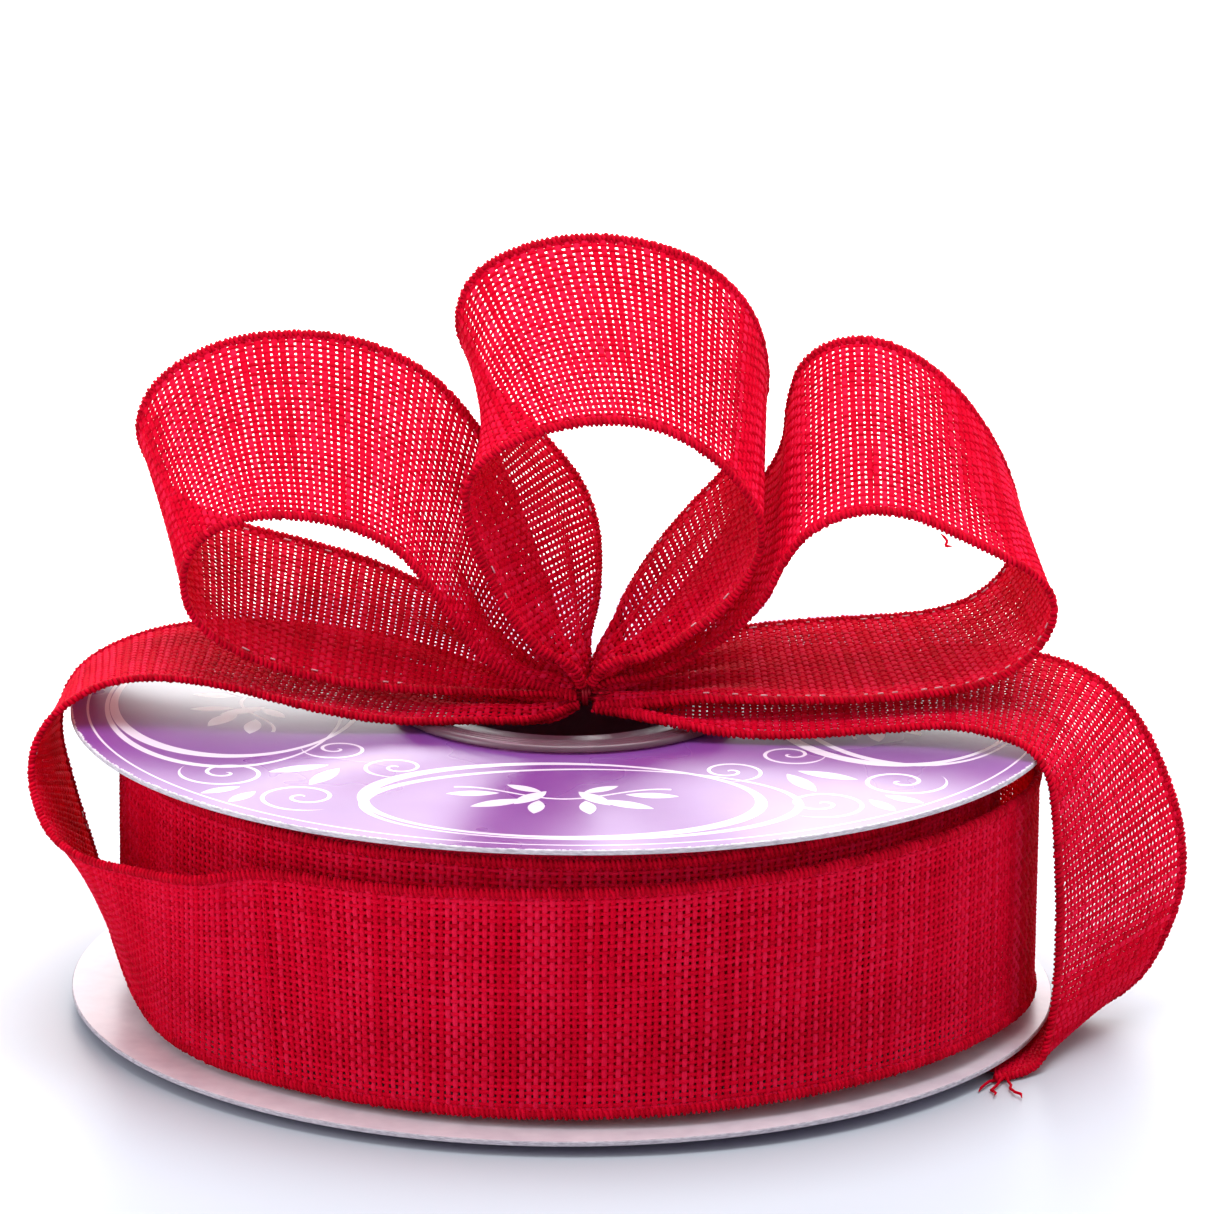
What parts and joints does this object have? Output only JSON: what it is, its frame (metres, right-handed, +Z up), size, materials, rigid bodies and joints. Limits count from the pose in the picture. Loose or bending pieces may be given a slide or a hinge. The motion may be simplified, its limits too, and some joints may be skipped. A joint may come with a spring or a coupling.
{
  "type": "ribbon spool",
  "caption": "Flat-lying spool of wired woven ribbon: two card flanges on a clear hub, with the free ribbon end pinched into a looped bow on top and hanging over the rim.",
  "frame": {"origin": "on the supporting surface, under the middle of the whole object's box", "axes": "+Z up along the spool's axis; +X from the lead side to the tail side, the object's longest extent; +Y away from the viewer"},
  "size_m": [0.1874, 0.16, 0.125],
  "materials": {
    "ribbon_cloth": "open plain weave, matte with a slight thread sheen",
    "ribbon_edge": "overlocked thread over a fine wire",
    "board_upper": "glossy lilac print with pale scrolls",
    "board_lower": "smooth white inner face, printed outer face",
    "core_card": "plain brown board tube",
    "start_tape": "adhesive paper tape",
    "hub_plastic": "clear moulded plastic",
    "tie_wire": "fine red lacquered craft wire"
  },
  "bodies": {
    "spool": {"core_tube": "core_card", "wound_ribbon": "ribbon_cloth", "start_tape": "start_tape", "hub_lower": "hub_plastic", "hub_upper": "hub_plastic", "bow_gather": "ribbon_cloth", "bow_tie_wire": "tie_wire", "outer_wrap": "ribbon_cloth", "outer_wrap_near_edge": "ribbon_edge", "outer_wrap_far_edge": "ribbon_edge", "lead": "ribbon_cloth", "lead_near_edge": "ribbon_edge", "lead_far_edge": "ribbon_edge", "left_loop": "ribbon_cloth", "left_loop_near_edge": "ribbon_edge", "left_loop_far_edge": "ribbon_edge", "middle_loop": "ribbon_cloth", "middle_loop_near_edge": "ribbon_edge", "middle_loop_far_edge": "ribbon_edge", "right_loop": "ribbon_cloth", "right_loop_near_edge": "ribbon_edge", "right_loop_far_edge": "ribbon_edge", "tail": "ribbon_cloth", "tail_near_edge": "ribbon_edge", "tail_far_edge": "ribbon_edge"},
    "upper_flange": {"top_flange": "board_upper"},
    "lower_flange": {"bottom_flange": "board_lower"}
  },
  "joints": [
    {"name": "upper_flange_turn", "type": "hinge", "parent": "spool", "child": "upper_flange", "pos_m": [-0.00783, 0, 0.049], "axis": [0, 0, 1], "continuous": true},
    {"name": "lower_flange_turn", "type": "hinge", "parent": "spool", "child": "lower_flange", "pos_m": [-0.00783, 0, 0.0024], "axis": [0, 0, 1], "continuous": true}
  ]
}
